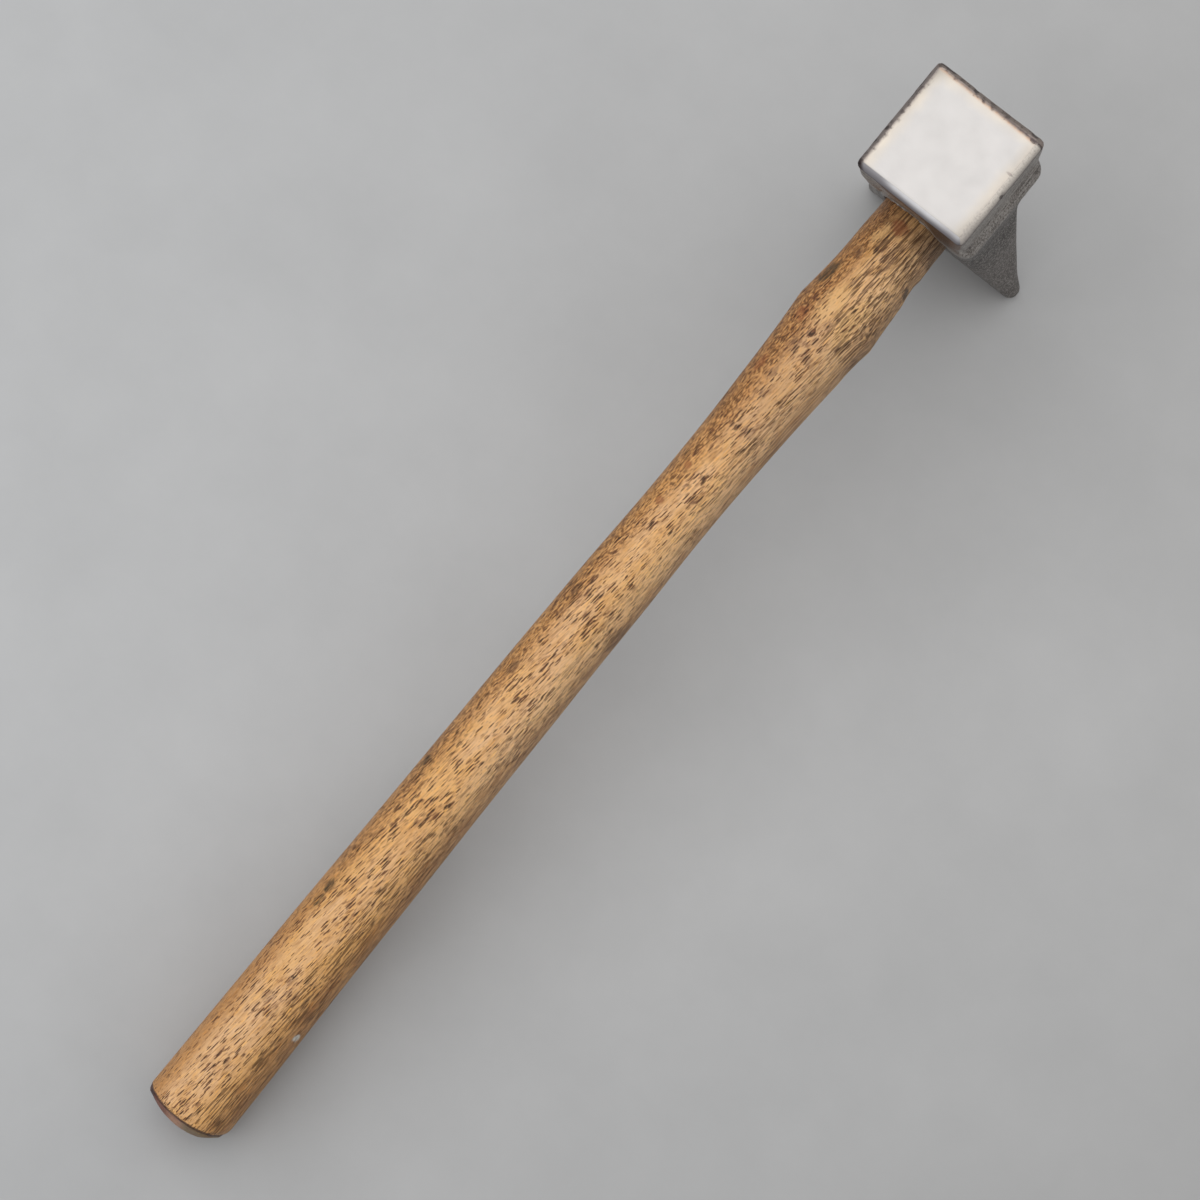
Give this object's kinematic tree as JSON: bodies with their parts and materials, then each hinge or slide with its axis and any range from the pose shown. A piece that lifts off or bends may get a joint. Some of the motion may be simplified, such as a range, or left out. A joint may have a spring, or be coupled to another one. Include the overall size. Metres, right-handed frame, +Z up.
{
  "type": "veneer hammer",
  "caption": "Veneer hammer: a steel head with a square face and a flared, rounded cross peen, wedged onto an oval wooden handle.",
  "frame": {"origin": "middle of the bounding box in X and Y, at the bench that the hammer rests on", "axes": "+Z up, with the hammer resting on the edge of its peen and the heel of its handle; the handle runs from the head along -Y; X runs across the handle, along the peen's edge"},
  "size_m": [0.0508, 0.3152, 0.1052],
  "materials": {
    "forged_steel": "dark forged steel with a polished striking face",
    "handle_wood": "oiled and worn",
    "wedge_wood": "end grain, darkened",
    "wedge_steel": "dull steel"
  },
  "bodies": {
    "root": {"head": "forged_steel", "handle": "handle_wood", "wooden_wedge": "wedge_wood", "steel_wedge": "wedge_steel"}
  },
  "joints": []
}
